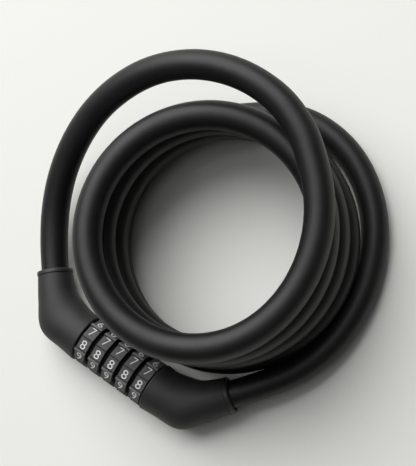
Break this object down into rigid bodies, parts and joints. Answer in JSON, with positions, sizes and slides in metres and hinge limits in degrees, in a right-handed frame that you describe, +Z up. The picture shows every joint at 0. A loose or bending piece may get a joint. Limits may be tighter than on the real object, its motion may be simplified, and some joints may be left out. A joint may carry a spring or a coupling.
{
  "type": "combination cable lock",
  "caption": "Self-coiling sheathed cable lock whose two ends meet in a head with rotating number dials and a sliding bolt.",
  "frame": {"origin": "centre of the head's base, on the surface that the lock lies on", "axes": "+X along the dials' axis towards the half that pulls out, +Y from the head towards the coil, +Z up"},
  "size_m": [0.1581, 0.1572, 0.0644],
  "materials": {
    "cover_plastic": "satin black moulding",
    "collar_plastic": "satin black moulding",
    "cable_sheath": "semi-matt black sheath",
    "dial_plastic": "fine-grained dark grey",
    "spacer_plastic": "matt black",
    "numeral_paint": "matt white fill",
    "cast_metal": "as cast",
    "steel": "plated",
    "locking_ring_metal": "machined",
    "rope_steel": "drawn wire"
  },
  "bodies": {
    "lock_body": {"left_cover": "cover_plastic", "left_insert": "cast_metal", "left_collar": "collar_plastic", "left_ferrule": "steel", "left_ferrule_pin": "steel", "left_rope_end": "rope_steel", "spindle_tube": "steel", "spindle_pin": "steel", "detent_leaf": "steel", "dial_spacers": "spacer_plastic", "spring_washer": "steel", "end_washer": "steel", "retaining_ring": "steel", "cable_top_loop": "cable_sheath", "cable_coil": "cable_sheath", "cable_outer_turn": "cable_sheath"},
    "bolt_body": {"right_cover": "cover_plastic", "right_insert": "cast_metal", "right_collar": "collar_plastic", "right_ferrule": "steel", "right_ferrule_pin": "steel", "right_rope_end": "rope_steel", "bolt": "steel", "bolt_pin": "steel"},
    "dial_body_1": {"dial_1": "dial_plastic", "locking_ring_1": "locking_ring_metal"},
    "dial_body_2": {"dial_2": "dial_plastic", "locking_ring_2": "locking_ring_metal"},
    "dial_body_3": {"dial_3": "dial_plastic", "locking_ring_3": "locking_ring_metal"},
    "dial_body_4": {"dial_4": "dial_plastic", "locking_ring_4": "locking_ring_metal"},
    "dial_body_5": {"dial_5": "dial_plastic", "locking_ring_5": "locking_ring_metal"}
  },
  "joints": [
    {"name": "dial_1_spin", "type": "hinge", "parent": "lock_body", "child": "dial_body_1", "pos_m": [-0.0158, -0.00555, 0.0114], "axis": [1, 0, 0], "continuous": true},
    {"name": "dial_2_spin", "type": "hinge", "parent": "lock_body", "child": "dial_body_2", "pos_m": [-0.0079, -0.00555, 0.0114], "axis": [1, 0, 0], "continuous": true},
    {"name": "dial_3_spin", "type": "hinge", "parent": "lock_body", "child": "dial_body_3", "pos_m": [0, -0.00555, 0.0114], "axis": [1, 0, 0], "continuous": true},
    {"name": "dial_4_spin", "type": "hinge", "parent": "lock_body", "child": "dial_body_4", "pos_m": [0.0079, -0.00555, 0.0114], "axis": [1, 0, 0], "continuous": true},
    {"name": "dial_5_spin", "type": "hinge", "parent": "lock_body", "child": "dial_body_5", "pos_m": [0.0158, -0.00555, 0.0114], "axis": [1, 0, 0], "continuous": true},
    {"name": "bolt_slide", "type": "slide", "parent": "lock_body", "child": "bolt_body", "axis": [1, 0, 0], "range_m": [0, 0.045], "deforming": ["cable_outer_turn"]}
  ]
}
